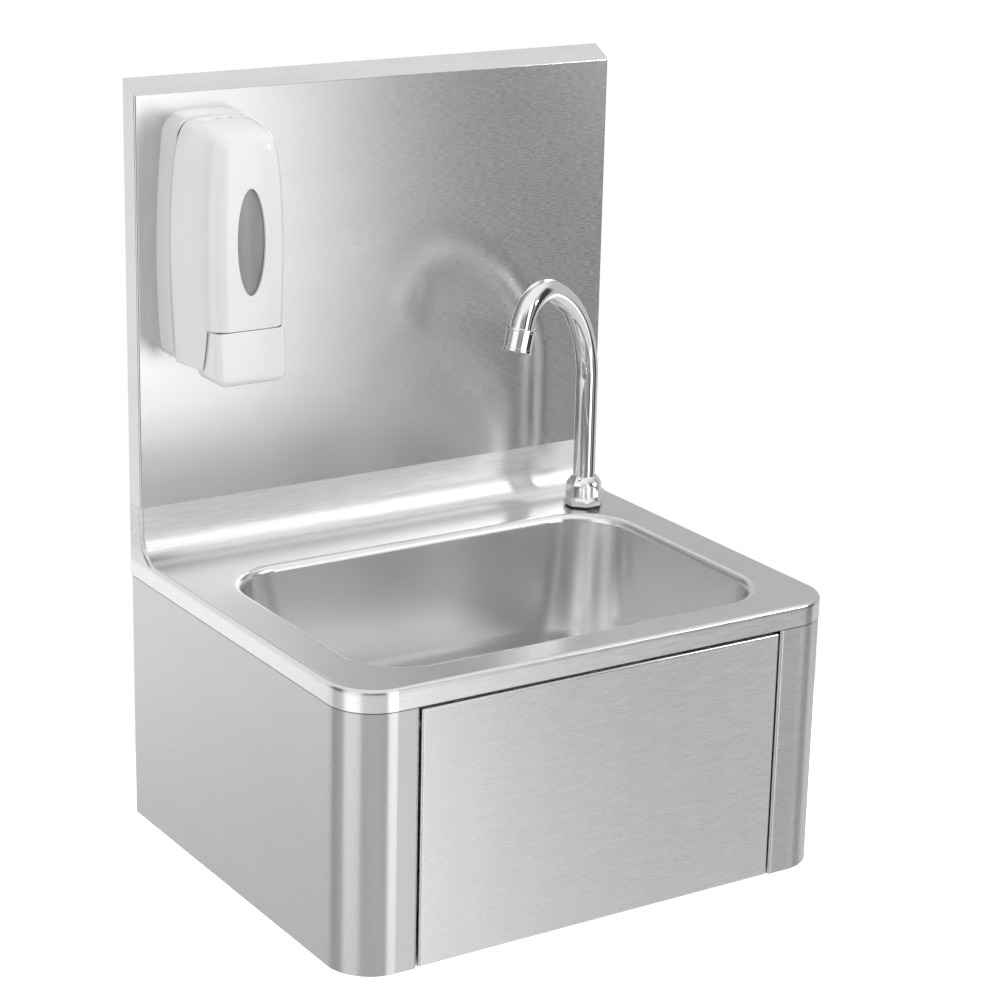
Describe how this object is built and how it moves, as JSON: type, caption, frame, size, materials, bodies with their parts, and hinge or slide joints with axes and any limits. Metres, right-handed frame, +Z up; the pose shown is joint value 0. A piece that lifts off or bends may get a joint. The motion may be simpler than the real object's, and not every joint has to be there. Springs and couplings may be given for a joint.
{
  "type": "wall-hung hand wash sink",
  "caption": "Wall-hung stainless steel hand wash sink with a high splashback, a swivelling gooseneck spout, a knee-pushed front panel that opens the valve, and a wall soap dispenser.",
  "frame": {"origin": "centre of the four wall bolts, on the wall plane", "axes": "+Z up, +Y into the wall, +X to the user's right; the user stands on the -Y side"},
  "size_m": [0.4, 0.33, 0.5587],
  "materials": {
    "satin_steel": "brushed",
    "chrome_plate": "polished",
    "valve_brass": "machined",
    "black_rubber": "matte",
    "braided_hose": "braided steel over rubber",
    "white_plastic": "matte",
    "dispenser_white": "gloss",
    "window_grey": "smoked, translucent",
    "tank_plastic": "translucent",
    "aerator_grey": "matte"
  },
  "bodies": {
    "basin": {"deck": "satin_steel", "left_side": "satin_steel", "right_side": "satin_steel", "splashback": "satin_steel", "bowl": "satin_steel", "waste_strainer": "satin_steel", "waste_gasket": "black_rubber", "waste_body": "white_plastic", "waste_screw": "satin_steel", "hinge_pins": "satin_steel", "valve_rail": "satin_steel", "valve_body": "valve_brass", "valve_washer": "satin_steel", "valve_locknut": "valve_brass", "valve_spring": "satin_steel", "left_inlet_elbow": "valve_brass", "right_inlet_elbow": "valve_brass", "left_check_valve": "valve_brass", "right_check_valve": "valve_brass", "supply_hose": "braided_hose", "hose_fittings": "chrome_plate", "deck_gasket": "black_rubber", "spout_base": "chrome_plate", "spout_washer": "black_rubber", "spout_backnut": "valve_brass", "spout_nut": "chrome_plate", "dispenser_back": "dispenser_white", "dispenser_screws": "satin_steel", "cover_hinge_pins": "satin_steel", "cover_latch": "dispenser_white", "soap_tank": "tank_plastic", "pump_cylinder": "white_plastic", "pump_spring": "satin_steel"},
    "knee_panel": {"knee_panel": "satin_steel", "hinge_bushes": "white_plastic", "pusher_pad": "black_rubber"},
    "valve_button": {"valve_button": "chrome_plate"},
    "spout": {"spout_tube": "chrome_plate", "o_rings": "black_rubber", "aerator_housing": "chrome_plate", "aerator_insert": "aerator_grey"},
    "dispenser_cover": {"dispenser_cover": "dispenser_white", "dispenser_window": "window_grey", "lever_pin": "satin_steel"},
    "dispenser_lever": {"dispenser_lever": "dispenser_white"},
    "pump_piston": {"pump_piston": "white_plastic"}
  },
  "joints": [
    {"name": "knee_panel_swing", "type": "hinge", "parent": "basin", "child": "knee_panel", "pos_m": [0, -0.3207, 0.0689], "axis": [1, 0, 0], "range_deg": [0, 3.6]},
    {"name": "valve_press", "type": "slide", "parent": "basin", "child": "valve_button", "axis": [0, 1, 0], "range_m": [0, 0.0085], "stiffness_N_per_m": 1200, "springref_m": -0.008, "deforming": ["valve_spring"]},
    {"name": "spout_swivel", "type": "hinge", "parent": "basin", "child": "spout", "pos_m": [0.163, -0.057, 0.1], "axis": [0, 0, 1], "range_deg": [-38, 150]},
    {"name": "dispenser_cover_swing", "type": "hinge", "parent": "basin", "child": "dispenser_cover", "pos_m": [-0.146, -0.041, 0.2526], "axis": [1, 0, 0], "range_deg": [0, 80]},
    {"name": "lever_push", "type": "hinge", "parent": "dispenser_cover", "child": "dispenser_lever", "pos_m": [-0.146, -0.08, 0.277], "axis": [1, 0, 0], "range_deg": [0, 12], "stiffness_Nm_per_rad": 0.8, "springref_deg": -5.73},
    {"name": "pump_lift", "type": "slide", "parent": "basin", "child": "pump_piston", "axis": [0, 0, 1], "range_m": [0, 0.0051], "deforming": ["pump_spring"]}
  ],
  "couplings": [
    {"joint": "valve_press", "follows": "knee_panel_swing", "m_per_rad": 0.1309},
    {"joint": "pump_lift", "follows": "lever_push", "m_per_rad": 0.024318}
  ]
}
